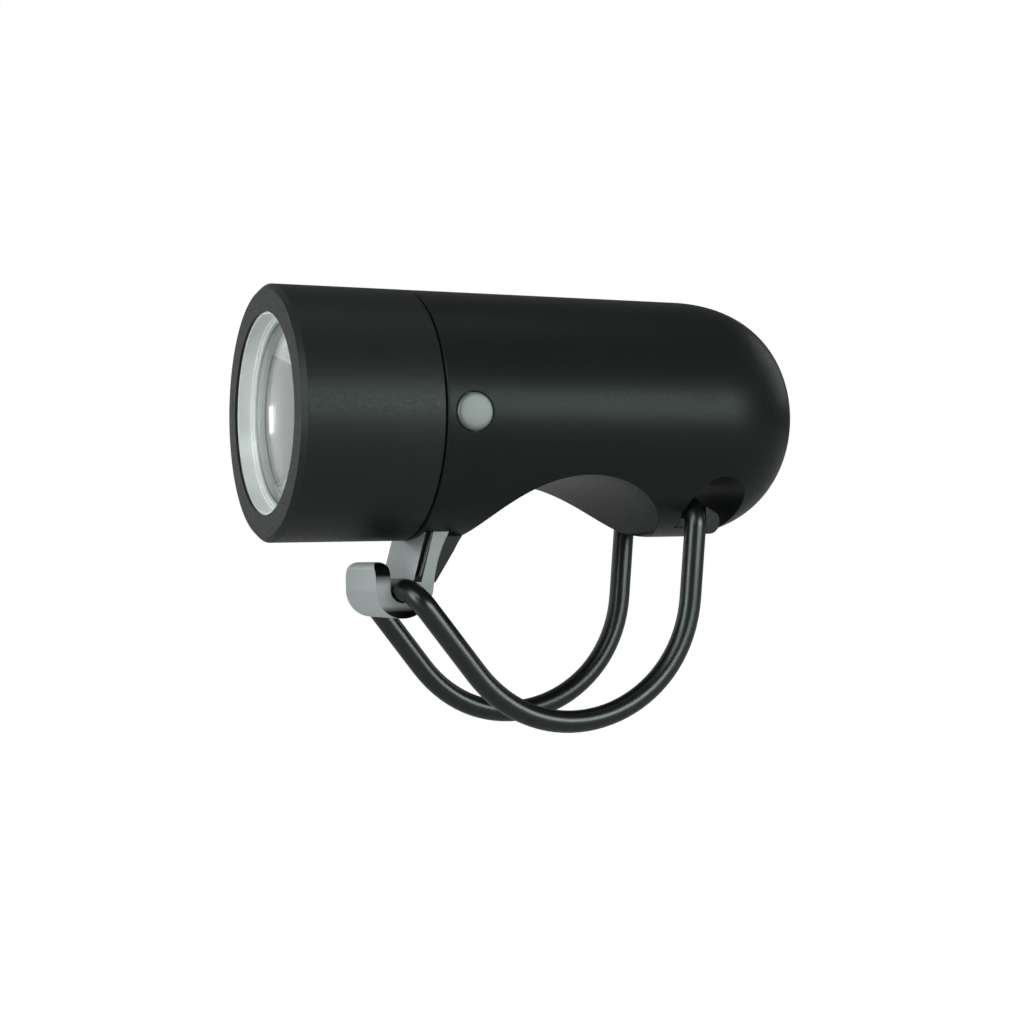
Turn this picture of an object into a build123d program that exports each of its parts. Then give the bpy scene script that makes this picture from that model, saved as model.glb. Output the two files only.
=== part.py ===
from build123d import *
import math
import os

# A small bicycle headlight: a round body that a rubber loop straps under itself to a handlebar.
# The collar with the lens, the lamp and the battery pulls out of the body as one module and
# charges through the plug at its rear end.
# All sizes are in millimetres. The origin is the middle of the handlebar's axis, the bar runs
# along X, the beam leaves towards -Y and +Z is up.
os.makedirs("parts", exist_ok=True)

# Handlebar saddle under the body
bar_radius = 17.5  # for a 35 mm bar and thinner ones
saddle_band = 8.0  # half width of the true round wall
saddle_flare = 0.3  # how far the wall opens at the body's flanks
saddle_corner = 3.2  # rounding between the saddle and the belly behind it
saddle_floor = 1.7  # wall between the saddle and the long bore
leg_reach = 3.6  # from the saddle wall's foremost line to the seam

# Cell and the capsule round it
cell_radius = 9.15
cell_length = 34.5
cell_bevel = 0.5
cell_fit = 0.1
cavity_start = 0.5  # behind the seam
capsule_wall = 1.0
capsule_fit = 0.25
contact_radius = 4.2
contact_tip_share = 0.6
front_contact = 1.2
rear_contact = 0.7

# Body
bore_rise = 3.6  # the long bore lies above the body axis, clear of the saddle
bore_room = 1.8  # behind the capsule
shell_wall = 2.4
dome_wall = 3.5
dome_lead = 1.4  # the dome starts this far before the strap hole's middle
dome_fullness_share = 0.64  # 0.55 would be a ball
seam_gap = 0.2
seam_bevel = 0.18
mouth_wall = 2.35  # beside the wide bore just behind the seam
mouth_room = 0.45  # behind the switch
overrun = 2.0  # how far cuts run past what they cut

# Strap loop, its two strands run side by side
strap_radius = 1.47
strap_fit = 0.2
strap_fold = 3.0
strap_ease = 0.1
strap_front_room = 0.5  # between the hook's flank and the start of the fold
strap_low_room = 0.43
strap_rear_room = 0.73
strap_lean_share = 0.6914  # where the straight runs would meet, as shares of the bar's radius
strap_drop_share = 2.4286

# Hole at the rear that carries the strap, and the horn that the strap hangs on
hole_radius = 4.6
hole_web = 3.1  # between the saddle wall's rearmost line and the hole's middle
hole_wall = 1.77  # between the hole and the long bore
strap_wall_gap = 0.36
strap_seat_rise = 0.97
horn_neck_half = 6.0
horn_head_half = 8.0
horn_gap = 1.25
horn_length = 2.2
horn_chamfer = 0.33
horn_top_drop = 0.15
horn_slope = 1.05
horn_rear_drop = 1.0
horn_foot_rise = 0.3

# Leg that backs the hook
leg_half = 4.2
leg_root = 1.9
leg_arc_angle = 62.0
leg_tip = 0.7
leg_tip_rise = 0.85

# Hook
hook_half = 5.8
hook_root = 1.5
hook_top_front_y = 1.17
hook_neck_share = 0.844
trough_lead = 2.2  # in front of the seam
trough_drop = 6.35  # below the belly
lip_wall = 2.0
lip_rise = 3.65
lip_corner = 2.4
hook_rear_top_y = 4.6
hook_rear_mid_y = 2.95
hook_rear_mid_drop = 1.9
hook_rear_low_y = 2.25
hook_rear_low_rise = 1.85
hook_heel_y = 1.95
hook_heel_drop = 0.25
hook_groove_skin = 0.3
hook_groove_width = 0.75
hook_groove_depth = 0.9
hook_fit = 0.05
pin_radius = 0.8
pin_length = 3.2
pin_offset = 2.6
pin_drop = 1.7
pin_start_y = 1.1

# Button on the right flank and the switch behind it
button_radius = 2.42
button_z = -0.7
button_gap = 0.13
button_proud = 0.12
button_dome = 0.25
button_step = 0.53  # from the cap's edge to the flange's
button_flange = 0.35
button_rim = 0.45  # wall between the seam and the button's pocket
button_travel = 0.5
button_touch = 0.1
button_stem_radius = 1.5
button_pocket_fit = 0.2
retainer_gap = 0.05
retainer_thickness = 0.25
retainer_hole_radius = 1.9
retainer_fit = 0.02
spring_length = 0.85
spring_inner_radius = 2.1
spring_edge = 0.1
switch_sink = 2.75
switch_width = 3.9
switch_height = 4.2
switch_body = 1.25
switch_nub_radius = 0.9
switch_nub = 0.55
switch_room = 0.4

# Collar and what it holds, from its front face to the carrier
collar_wall = 2.5
collar_bevel = 0.65
collar_lip = 0.35
collar_lip_width = 1.02
press_fit = 0.04
face_gap = 0.05
ring_depth = 2.6
ring_band = 1.3
ring_step_count = 3
ring_step = 0.28
lens_thickness = 1.3
lens_dome = 1.5
gasket_thickness = 0.5
gasket_width = 1.0
reflector_depth = 8.4
reflector_flange = 1.2
reflector_flange_width = 1.36
reflector_back_share = 0.616
facet_width_share = 0.523
facet_height_share = 0.709
window_half = 2.3
led_board_inset = 0.76
led_board_thickness = 1.6
led_side = 3.4
led_height = 0.7
led_dome_radius = 1.3
puck_thickness = 1.7
spigot_length = 2.0
carrier_fit = 0.2
screw_count = 3
screw_edge = 2.0  # from the lamp board's rim to the screws
screw_head_radius = 1.6
screw_head = 1.1
screw_shank_radius = 0.9
screw_length = 4.0
screw_slot = 0.5
screw_room = 0.1
lead_radius = 0.5
lead_offset = 6.2
lead_stub = 0.8
seal_width = 1.0
seal_touch = 0.03

# Board, cap and plug behind the cell
board_fit = 0.15
driver_board_thickness = 1.2
chip_side = 4.0
chip_height = 0.9
chip_offset = 5.0
chip_room = 0.4
board_rim = 0.5
end_cap_length = 2.6
end_cap_edge = 0.4
plug_width = 12.0
plug_height = 4.5
plug_wall = 0.3
plug_reach = 11.8
plug_fit = 0.5
plug_room_corner = 0.8
tongue_height = 1.9
tongue_gap = 0.1
contact_count = 4
contact_width = 1.0
contact_height = 0.12
contact_pitch = 2.3
contact_length = 8.5
contact_end = 1.2

# Radii that follow, from the cell outwards
cavity_radius = cell_radius + cell_fit
capsule_radius = cavity_radius + capsule_wall
bore_radius = capsule_radius + capsule_fit
body_radius = bore_rise + bore_radius + shell_wall
mouth_radius = body_radius - mouth_wall
carrier_radius = mouth_radius - carrier_fit
collar_bore_radius = body_radius - collar_wall
opening_radius = collar_bore_radius - collar_lip_width
held_radius = collar_bore_radius - press_fit
led_board_radius = held_radius - led_board_inset
screw_circle = led_board_radius - screw_edge
seal_circle = collar_bore_radius + collar_wall / 2
driver_board_radius = cavity_radius - board_fit
trough_radius = strap_radius + strap_fit

# Places along the body that follow, counted from the seam towards the rear
seam_to_bar = bar_radius + leg_reach
axis_height = bar_radius + saddle_floor + bore_radius - bore_rise
seam = -seam_to_bar
body_axis = Axis((0, seam, axis_height), (0, 1, 0))
head_stack = ring_depth + lens_thickness + gasket_thickness + reflector_depth
lamp_stack = led_board_thickness + puck_thickness + 3 * face_gap
collar_front = -(collar_lip + head_stack + lamp_stack + spigot_length)
ring_front = collar_front + collar_lip
lens_front = ring_front + ring_depth
gasket_front = lens_front + lens_thickness
reflector_front = gasket_front + gasket_thickness
reflector_back = reflector_front + reflector_depth
led_board_front = reflector_back + face_gap
led_board_back = led_board_front + led_board_thickness
puck_front = led_board_back + face_gap
carrier_front = puck_front + puck_thickness + face_gap
cell_start = cavity_start + front_contact
cell_end = cell_start + cell_length
driver_board_y = cell_end + rear_contact
driver_board_back = driver_board_y + driver_board_thickness
capsule_end = driver_board_back + board_rim
end_cap_end = capsule_end + end_cap_length
bore_depth = end_cap_end + bore_room
plug_start = driver_board_back + chip_height + chip_room
plug_end = end_cap_end + plug_reach
plug_room_end = plug_end + plug_fit
body_end = plug_room_end + dome_wall
hole_y = seam_to_bar + bar_radius + hole_web
hole_z = bore_rise - bore_radius - hole_wall - hole_radius
dome_start = hole_y - dome_lead
dome_length = body_end - dome_start

# The strap's corner points
strap_rear_y = hole_y - hole_radius + strap_radius + strap_wall_gap
strap_rear_z = hole_z + strap_seat_rise
strap_low_y = seam_to_bar + strap_lean_share * bar_radius
strap_low_z = -axis_height - strap_drop_share * bar_radius
strap_half_front = hook_half + strap_fold + strap_front_room
strap_half_low = saddle_band + strap_radius + strap_low_room
strap_half_rear = horn_head_half + strap_radius + strap_rear_room
strap_sweep = bar_radius + strap_ease

# The horn, the leg and the hook
horn_front_y = strap_rear_y + strap_radius + horn_gap
horn_rear_y = horn_front_y + horn_length
horn_neck_z = strap_rear_z - strap_radius - strap_fit
horn_top_z = strap_rear_z - horn_top_drop
horn_shoulder_z = horn_top_z - horn_slope
horn_rear_z = horn_shoulder_z - horn_rear_drop
horn_foot_z = horn_foot_rise - body_radius
hook_top_z = hook_root - body_radius
trough_y = -trough_lead
trough_z = -body_radius - trough_drop
hook_neck_y = trough_y + hook_neck_share * trough_radius
lip_top_z = trough_z + lip_rise
hook_rear_mid_z = -body_radius - hook_rear_mid_drop
hook_rear_low_z = trough_z + hook_rear_low_rise
hook_heel_z = trough_z - hook_heel_drop
pin_z = -body_radius - pin_drop
leg_top_z = leg_root - body_radius
leg_tip_y = hook_rear_low_y + leg_tip
leg_tip_z = trough_z + leg_tip_rise

# The button, its pocket and the switch, counted outwards from the body axis
button_flange_radius = button_radius + button_step
pocket_radius = button_flange_radius + button_pocket_fit
button_y = seam_gap / 2 + button_rim + pocket_radius
button_top = body_radius + button_proud
switch_floor = carrier_radius - switch_sink
switch_top = switch_floor + switch_body + switch_nub
button_tip = switch_top + button_travel + button_touch
retainer_inner = carrier_radius + retainer_gap
spring_start = retainer_inner + retainer_thickness
flange_start = spring_start + spring_length
pocket_end = flange_start + button_flange
mouth_depth = button_y + switch_width / 2 + mouth_room
wide_end = mouth_depth - carrier_fit
switch_slot_start = button_y - switch_width / 2
switch_slot_height = switch_height + 2 * switch_room


def side(x):
    """The plane of a side view at x: local x is the distance behind the seam, local y the height
    above the body axis."""
    return Plane(origin=(x, seam, axis_height), x_dir=(0, 1, 0), z_dir=(1, 0, 0))


def station(y, rise=0):
    """A plane across the body at y behind the seam, facing the rear, raised above the axis."""
    return Plane(origin=(0, seam + y, axis_height + rise), x_dir=(-1, 0, 0), z_dir=(0, 1, 0))


def flank(x):
    """A plane facing out of the right flank at x, centred on the button."""
    middle = (x, seam + button_y, axis_height + button_z)
    return Plane(origin=middle, x_dir=(0, 1, 0), z_dir=(1, 0, 0))


def hook_outline():
    """Draws the hook's side view inside an open BuildLine block: a stem that backs on the leg, a
    trough for the strap and an upright lip in front of it."""
    neck_rise = math.sqrt(trough_radius**2 - (hook_neck_y - trough_y) ** 2)
    neck = (hook_neck_y, trough_z + neck_rise)
    lip_inner = (trough_y - trough_radius, trough_z)
    lip_outer = (lip_inner[0] - lip_wall, trough_z)
    lip_shoulder_z = lip_top_z - lip_wall / 2
    bottom = (trough_y, trough_z - trough_radius - lip_wall)
    Line((hook_top_front_y, hook_top_z), neck)
    ThreePointArc(neck, (trough_y, trough_z - trough_radius), lip_inner)
    Line(lip_inner, (lip_inner[0], lip_shoulder_z))
    ThreePointArc(
        (lip_inner[0], lip_shoulder_z),
        (lip_inner[0] - lip_wall / 2, lip_top_z),
        (lip_outer[0], lip_shoulder_z),
    )
    Line((lip_outer[0], lip_shoulder_z), lip_outer)
    TangentArc(lip_outer, bottom, tangent=(0, -1))
    TangentArc(bottom, (hook_heel_y, hook_heel_z), tangent=(1, 0))
    Line((hook_heel_y, hook_heel_z), (hook_rear_low_y, hook_rear_low_z))
    ThreePointArc(
        (hook_rear_low_y, hook_rear_low_z),
        (hook_rear_mid_y, hook_rear_mid_z),
        (hook_rear_top_y, hook_top_z),
    )
    Line((hook_rear_top_y, hook_top_z), (hook_top_front_y, hook_top_z))


def save(part, name):
    """Writes one finished piece to its file."""
    part.label = name
    export_step(part, f"parts/{name}.step")
    print(name, "volume", round(part.volume, 1), "solids", len(part.solids()))


with BuildPart() as body_shell:
    # the round body with its full dome
    with BuildSketch(side(0)):
        with BuildLine():
            Polyline(
                (seam_gap / 2, 0),
                (seam_gap / 2, body_radius - seam_bevel),
                (seam_gap / 2 + seam_bevel, body_radius),
                (dome_start, body_radius),
            )
            Bezier(
                (dome_start, body_radius),
                (dome_start + dome_fullness_share * dome_length, body_radius),
                (body_end, dome_fullness_share * body_radius),
                (body_end, 0),
            )
            Line((body_end, 0), (seam_gap / 2, 0))
        make_face()
    revolve(axis=body_axis)
    # the leg under the seam that backs the hook
    with BuildSketch(side(0)):
        with BuildLine():
            Polyline(
                (leg_tip_y, leg_tip_z),
                (seam_to_bar, leg_tip_z),
                (seam_to_bar, leg_top_z),
                (hook_rear_mid_y, leg_top_z),
                (hook_rear_mid_y, hook_rear_mid_z),
                (hook_heel_y, leg_tip_z),
                close=True,
            )
        make_face()
    extrude(amount=leg_half, both=True)
    # below its round stretch the leg's rear face runs straight to the tip
    arc_end_y = seam_to_bar - bar_radius * math.sin(math.radians(leg_arc_angle))
    arc_end_z = bar_radius * math.cos(math.radians(leg_arc_angle)) - axis_height
    with BuildSketch(side(0)):
        with BuildLine():
            Polyline(
                (arc_end_y, arc_end_z),
                (leg_tip_y, leg_tip_z),
                (leg_tip_y, leg_tip_z - overrun),
                (seam_to_bar, leg_tip_z - overrun),
                (seam_to_bar, arc_end_z),
                close=True,
            )
        make_face()
    extrude(amount=leg_half + overrun, both=True, mode=Mode.SUBTRACT)
    # the strap's hole across the rear of the belly
    with BuildSketch(side(0)):
        with Locations((hole_y, hole_z)):
            Circle(hole_radius)
    extrude(amount=body_radius, both=True, mode=Mode.SUBTRACT)
    # the horn: a neck under the strap, flush with the belly, and a head behind it
    neck_start = hole_y - hole_radius
    with BuildSketch(station(neck_start)):
        Circle(body_radius)
        with Locations((0, (horn_neck_z - body_radius) / 2)):
            Rectangle(2 * horn_neck_half, body_radius + horn_neck_z, mode=Mode.INTERSECT)
    extrude(amount=horn_front_y + horn_length / 2 - neck_start)
    with BuildSketch(side(0)):
        with BuildLine():
            horn_foot = (horn_front_y, horn_foot_z)
            horn_crest = (horn_front_y, horn_top_z)
            horn_shoulder = (horn_rear_y - horn_chamfer, horn_shoulder_z)
            horn_rear = (horn_rear_y, horn_rear_z)
            Line(horn_foot, horn_crest)
            Line(horn_crest, horn_shoulder)
            ThreePointArc(horn_shoulder, horn_rear, horn_foot)
        make_face()
    extrude(amount=horn_head_half, both=True)
    # the saddle, round about the bar's axis and opening a little at the flanks
    with BuildSketch(Plane.XZ):
        with BuildLine():
            Line((-saddle_band, bar_radius), (saddle_band, bar_radius))
            TangentArc(
                (saddle_band, bar_radius),
                (body_radius, bar_radius + saddle_flare),
                tangent=(1, 0),
            )
            Polyline(
                (body_radius, bar_radius + saddle_flare),
                (body_radius, 0),
                (-body_radius, 0),
                (-body_radius, bar_radius + saddle_flare),
            )
            TangentArc(
                (-saddle_band, bar_radius),
                (-body_radius, bar_radius + saddle_flare),
                tangent=(-1, 0),
            )
        make_face()
    revolve(axis=Axis.X, mode=Mode.SUBTRACT)
    # the rounded corner behind the saddle
    corner_z = saddle_corner - body_radius
    corner_rise = corner_z + axis_height
    corner_y = seam_to_bar + math.sqrt((bar_radius + saddle_corner) ** 2 - corner_rise**2)
    reach = bar_radius / (bar_radius + saddle_corner)
    touch = (seam_to_bar + reach * (corner_y - seam_to_bar), reach * corner_rise - axis_height)
    with BuildSketch(side(0)):
        with BuildLine():
            TangentArc((corner_y, -body_radius), touch, tangent=(-1, 0))
            Polyline(
                touch,
                (touch[0], -body_radius - overrun),
                (corner_y, -body_radius - overrun),
                (corner_y, -body_radius),
            )
        make_face()
    extrude(amount=body_radius, both=True, mode=Mode.SUBTRACT)
    # the bores for the carrier and its plug
    with BuildSketch(station(seam_gap / 2 - overrun)):
        Circle(mouth_radius)
    extrude(amount=mouth_depth + overrun - seam_gap / 2, mode=Mode.SUBTRACT)
    with BuildSketch(station(seam_gap / 2, bore_rise)):
        Circle(bore_radius)
    extrude(amount=bore_depth - seam_gap / 2, mode=Mode.SUBTRACT)
    with BuildSketch(station(bore_depth - overrun, bore_rise)):
        room_width = plug_width + 2 * plug_fit
        RectangleRounded(room_width, plug_height + 2 * plug_fit, plug_room_corner)
    extrude(amount=plug_room_end - bore_depth + overrun, mode=Mode.SUBTRACT)
    # the button's hole and the pocket behind it
    with BuildSketch(flank(button_tip)):
        Circle(button_radius + button_gap)
    extrude(amount=body_radius - button_tip + overrun, mode=Mode.SUBTRACT)
    with BuildSketch(flank(retainer_inner - overrun)):
        Circle(pocket_radius)
    extrude(amount=pocket_end - retainer_inner + overrun, mode=Mode.SUBTRACT)
    # the hook's seat and its pin holes
    with BuildSketch(side(0)):
        with BuildLine():
            hook_outline()
        make_face()
        offset(amount=hook_fit)
    extrude(amount=hook_half + hook_fit, both=True, mode=Mode.SUBTRACT)
    with BuildSketch(station(pin_start_y, pin_z)):
        with GridLocations(2 * pin_offset, 0, 2, 1):
            Circle(pin_radius)
    extrude(amount=pin_length, mode=Mode.SUBTRACT)
save(body_shell.part, "body_shell")

with BuildPart() as hook:
    with BuildSketch(side(0)):
        with BuildLine():
            hook_outline()
        make_face()
    extrude(amount=hook_half, both=True)
    # the lip's upper corners are round when seen from the front
    lip_height = lip_top_z - trough_z + trough_radius + lip_wall
    with BuildSketch(station(trough_y - trough_radius - lip_wall - overrun, lip_top_z)):
        Rectangle(2 * hook_half + 2 * overrun, 2 * lip_corner)
        with Locations((0, -lip_height / 2)):
            RectangleRounded(2 * hook_half, lip_height, lip_corner, mode=Mode.SUBTRACT)
    extrude(amount=lip_wall + overrun + trough_radius / 2, mode=Mode.SUBTRACT)
    # a groove down each side of the stem, close behind its front face
    groove_top_y = hook_top_front_y + hook_groove_skin
    groove_low_y = hook_neck_y + hook_groove_skin
    groove_low_z = trough_z + trough_radius
    with BuildSketch(side(hook_half - hook_groove_depth)) as groove:
        with BuildLine():
            Polyline(
                (groove_top_y, hook_top_z),
                (groove_low_y, groove_low_z),
                (groove_low_y + hook_groove_width, groove_low_z),
                (groove_top_y + hook_groove_width, hook_top_z),
                close=True,
            )
        make_face()
    extrude(amount=hook_groove_depth, mode=Mode.SUBTRACT)
    extrude(groove.sketch.mirror(Plane.YZ), amount=-hook_groove_depth, mode=Mode.SUBTRACT)
    with BuildSketch(station(pin_start_y, pin_z)):
        with GridLocations(2 * pin_offset, 0, 2, 1):
            Circle(pin_radius)
    extrude(amount=pin_length, mode=Mode.SUBTRACT)
save(hook.part, "hook")

with BuildPart() as hook_pins:
    with BuildSketch(station(pin_start_y, pin_z)):
        with GridLocations(2 * pin_offset, 0, 2, 1):
            Circle(pin_radius)
    extrude(amount=pin_length)
save(hook_pins.part, "hook_pins")

with BuildPart() as strap:
    # half of the loop, from the middle of the rear fold round the bar to the middle of the hook
    rear = (seam + strap_rear_y, axis_height + strap_rear_z)
    low = (seam + strap_low_y, axis_height + strap_low_z)
    front = (seam + trough_y, axis_height + trough_z)
    with BuildLine() as route:
        FilletPolyline(
            (0, *rear),
            (strap_half_rear, *rear),
            (strap_half_low, *low),
            (strap_half_front, *front),
            (0, *front),
            radius=[strap_fold, strap_sweep, strap_fold],
        )
    with BuildSketch(Plane(origin=(0, *rear), z_dir=(1, 0, 0))):
        Circle(strap_radius)
    sweep(path=route.wires()[0])
    strand_volume = math.pi * strap_radius**2 * route.wires()[0].length
    print("strap strand volume", round(strap.part.volume, 1), "by length", round(strand_volume, 1))
    mirror(about=Plane.YZ)
save(strap.part, "strap")

with BuildPart() as button_cap:
    # a flange that stops the cap from leaving, the cap with its low dome, and the stem behind
    with BuildSketch(Plane(origin=flank(0).origin, x_dir=(1, 0, 0), z_dir=(0, 0, 1))):
        with BuildLine():
            Polyline(
                (button_top + button_dome, 0),
                (button_tip, 0),
                (button_tip, button_stem_radius),
                (flange_start, button_stem_radius),
                (flange_start, button_flange_radius),
                (pocket_end - face_gap, button_flange_radius),
                (pocket_end - face_gap, button_radius),
                (button_top, button_radius),
            )
            TangentArc(
                (button_top + button_dome, 0), (button_top, button_radius), tangent=(0, 1)
            )
        make_face()
    revolve(axis=Axis(flank(0).origin, (1, 0, 0)))
save(button_cap.part, "button_cap")

with BuildPart() as button_retainer:
    with BuildSketch(flank(retainer_inner)):
        Circle(pocket_radius - retainer_fit)
        Circle(retainer_hole_radius, mode=Mode.SUBTRACT)
    extrude(amount=retainer_thickness)
save(button_retainer.part, "button_retainer")

with BuildPart() as button_spring:
    with BuildSketch(flank(spring_start + retainer_fit)):
        Circle(button_flange_radius - spring_edge)
        Circle(spring_inner_radius, mode=Mode.SUBTRACT)
    extrude(amount=spring_length - 2 * retainer_fit)
save(button_spring.part, "button_spring")

with BuildPart() as head_collar:
    with BuildSketch(side(0)):
        with BuildLine():
            Polyline(
                (collar_front, opening_radius),
                (collar_front, body_radius - collar_bevel),
                (collar_front + collar_bevel, body_radius),
                (-seam_gap / 2 - seam_bevel, body_radius),
                (-seam_gap / 2, body_radius - seam_bevel),
                (-seam_gap / 2, collar_bore_radius),
                (ring_front, collar_bore_radius),
                (ring_front, opening_radius),
                close=True,
            )
        make_face()
    revolve(axis=body_axis)
    # the groove for the ring that seals the seam
    groove_half = seal_width / 2 + seal_touch
    groove_depth = seal_width + 2 * seal_touch - seam_gap
    with BuildSketch(station(-seam_gap / 2 - groove_depth)):
        Circle(seal_circle + groove_half)
        Circle(seal_circle - groove_half, mode=Mode.SUBTRACT)
    extrude(amount=groove_depth, mode=Mode.SUBTRACT)
save(head_collar.part, "head_collar")

with BuildPart() as seam_seal:
    with BuildSketch(station(seam_gap / 2 - seal_touch - seal_width)):
        Circle(seal_circle + seal_width / 2)
        Circle(seal_circle - seal_width / 2, mode=Mode.SUBTRACT)
    extrude(amount=seal_width)
save(seam_seal.part, "seam_seal")

with BuildPart() as lens_ring:
    # a plain bore in front and fine steps that lead down to the lens
    with BuildSketch(station(ring_front)):
        Circle(held_radius)
    extrude(amount=ring_depth - face_gap)
    ring_bore = held_radius - ring_band
    step_depth = ring_step
    bore_length = ring_depth - ring_step_count * step_depth
    for step in range(ring_step_count + 1):
        with BuildSketch(station(ring_front)):
            Circle(ring_bore - step * ring_step)
        extrude(amount=bore_length + step * step_depth, mode=Mode.SUBTRACT)
save(lens_ring.part, "lens_ring")

with BuildPart() as front_lens:
    lens_edge = ring_bore - ring_step_count * ring_step - press_fit
    with BuildSketch(side(0)):
        with BuildLine():
            Polyline(
                (lens_front - lens_dome, 0),
                (gasket_front, 0),
                (gasket_front, held_radius),
                (lens_front, held_radius),
                (lens_front, lens_edge),
            )
            TangentArc((lens_front - lens_dome, 0), (lens_front, lens_edge), tangent=(0, 1))
        make_face()
    revolve(axis=body_axis)
save(front_lens.part, "front_lens")

with BuildPart() as lens_gasket:
    with BuildSketch(station(gasket_front)):
        Circle(held_radius)
        Circle(held_radius - gasket_width, mode=Mode.SUBTRACT)
    extrude(amount=gasket_thickness)
save(lens_gasket.part, "lens_gasket")

with BuildPart() as reflector:
    with BuildSketch(side(0)):
        with BuildLine():
            Polyline(
                (reflector_front, 0),
                (reflector_front, held_radius),
                (reflector_front + reflector_flange, held_radius),
                (reflector_front + reflector_flange, held_radius - reflector_flange_width),
                (reflector_back, reflector_back_share * held_radius),
                (reflector_back, 0),
                close=True,
            )
        make_face()
    revolve(axis=body_axis)
    # four flat walls that lead from the wide mouth to the lamp's window
    with BuildSketch(station(reflector_front)):
        Rectangle(2 * facet_width_share * held_radius, 2 * facet_height_share * held_radius)
    with BuildSketch(station(reflector_back)):
        Rectangle(2 * window_half, 2 * window_half)
    loft(ruled=True, mode=Mode.SUBTRACT)
save(reflector.part, "reflector")

with BuildPart() as led_board:
    with BuildSketch(station(led_board_front)):
        Circle(led_board_radius)
        with PolarLocations(screw_circle, screw_count, start_angle=90):
            Circle(screw_shank_radius + screw_room, mode=Mode.SUBTRACT)
    extrude(amount=led_board_thickness)
save(led_board.part, "led_board")

with BuildPart() as led_emitter:
    with BuildSketch(station(led_board_front)):
        Rectangle(led_side, led_side)
    extrude(amount=-led_height)
    with BuildSketch(side(0)):
        with BuildLine():
            emitter_front = led_board_front - led_height
            Polyline(
                (emitter_front - led_dome_radius, 0),
                (emitter_front + led_height / 2, 0),
                (emitter_front + led_height / 2, led_dome_radius),
                (emitter_front, led_dome_radius),
            )
            RadiusArc(
                (emitter_front, led_dome_radius),
                (emitter_front - led_dome_radius, 0),
                -led_dome_radius,
            )
        make_face()
    revolve(axis=body_axis)
save(led_emitter.part, "led_emitter")

with BuildPart() as heat_puck:
    with BuildSketch(station(puck_front)):
        Circle(held_radius)
        with PolarLocations(screw_circle, screw_count, start_angle=90):
            Circle(screw_shank_radius, mode=Mode.SUBTRACT)
        with GridLocations(2 * lead_offset, 0, 2, 1):
            Circle(lead_radius + screw_room, mode=Mode.SUBTRACT)
    extrude(amount=puck_thickness)
save(heat_puck.part, "heat_puck")

with BuildPart() as head_screws:
    with BuildSketch(station(led_board_front)):
        with PolarLocations(screw_circle, screw_count, start_angle=90):
            Circle(screw_head_radius)
    extrude(amount=-screw_head)
    with BuildSketch(station(led_board_front)):
        with PolarLocations(screw_circle, screw_count, start_angle=90):
            Circle(screw_shank_radius)
    extrude(amount=screw_length)
    with BuildSketch(station(led_board_front - screw_head)):
        with PolarLocations(screw_circle, screw_count, start_angle=90):
            Rectangle(2 * screw_head_radius, screw_slot)
    extrude(amount=screw_head / 2, mode=Mode.SUBTRACT)
save(head_screws.part, "head_screws")

with BuildPart() as led_leads:
    with BuildSketch(station(led_board_back)):
        with GridLocations(2 * lead_offset, 0, 2, 1):
            Circle(lead_radius)
    extrude(amount=cavity_start - led_board_back + lead_stub)
save(led_leads.part, "led_leads")

with BuildPart() as carrier:
    # a spigot in the collar, a plug in the body's mouth and the long capsule behind them
    with BuildSketch(station(carrier_front)):
        Circle(held_radius)
    extrude(amount=-seam_gap / 2 - carrier_front)
    with BuildSketch(station(-seam_gap / 2)):
        Circle(carrier_radius)
    extrude(amount=wide_end + seam_gap / 2)
    with BuildSketch(station(wide_end, bore_rise)):
        Circle(capsule_radius)
    extrude(amount=capsule_end - wide_end)
    with BuildSketch(station(cavity_start, bore_rise)):
        Circle(cavity_radius)
    extrude(amount=capsule_end - cavity_start, mode=Mode.SUBTRACT)
    # the slot that the switch sits in, open to the rear so that the button's stem passes along it
    slot_middle = (switch_slot_start + mouth_depth) / 2
    with BuildSketch(Plane.XY.offset(axis_height + button_z - switch_slot_height / 2)):
        with Locations((switch_floor + overrun, seam + slot_middle)):
            Rectangle(2 * overrun, mouth_depth - switch_slot_start)
    extrude(amount=switch_slot_height, mode=Mode.SUBTRACT)
    # the ends of the screws and the lamp's leads come through the front wall
    with BuildSketch(station(carrier_front)):
        with PolarLocations(screw_circle, screw_count, start_angle=90):
            Circle(screw_shank_radius)
    extrude(amount=screw_length, mode=Mode.SUBTRACT)
    with BuildSketch(station(carrier_front)):
        with GridLocations(2 * lead_offset, 0, 2, 1):
            Circle(lead_radius + screw_room)
    extrude(amount=cavity_start - carrier_front, mode=Mode.SUBTRACT)
save(carrier.part, "carrier")

with BuildPart() as battery_cell:
    with BuildSketch(station(cell_start, bore_rise)):
        Circle(cell_radius)
    extrude(amount=cell_length)
    chamfer(battery_cell.edges().filter_by(GeomType.CIRCLE), cell_bevel)
save(battery_cell.part, "battery_cell")

with BuildPart() as cell_contacts:
    # one conical spring in front of the cell and one behind it
    with BuildSketch(station(cavity_start, bore_rise)):
        Circle(contact_radius)
    with BuildSketch(station(cell_start, bore_rise)):
        Circle(contact_radius * contact_tip_share)
    loft()
    with BuildSketch(station(cell_end, bore_rise)):
        Circle(contact_radius * contact_tip_share)
    with BuildSketch(station(driver_board_y, bore_rise)):
        Circle(contact_radius)
    loft()
save(cell_contacts.part, "cell_contacts")

with BuildPart() as tactile_switch:
    with BuildSketch(flank(switch_floor)):
        Rectangle(switch_width, switch_height)
    extrude(amount=switch_body)
    with BuildSketch(flank(switch_floor + switch_body)):
        Circle(switch_nub_radius)
    extrude(amount=switch_nub)
save(tactile_switch.part, "tactile_switch")

with BuildPart() as driver_board:
    with BuildSketch(station(driver_board_y, bore_rise)):
        Circle(driver_board_radius)
    extrude(amount=driver_board_thickness)
save(driver_board.part, "driver_board")

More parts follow.
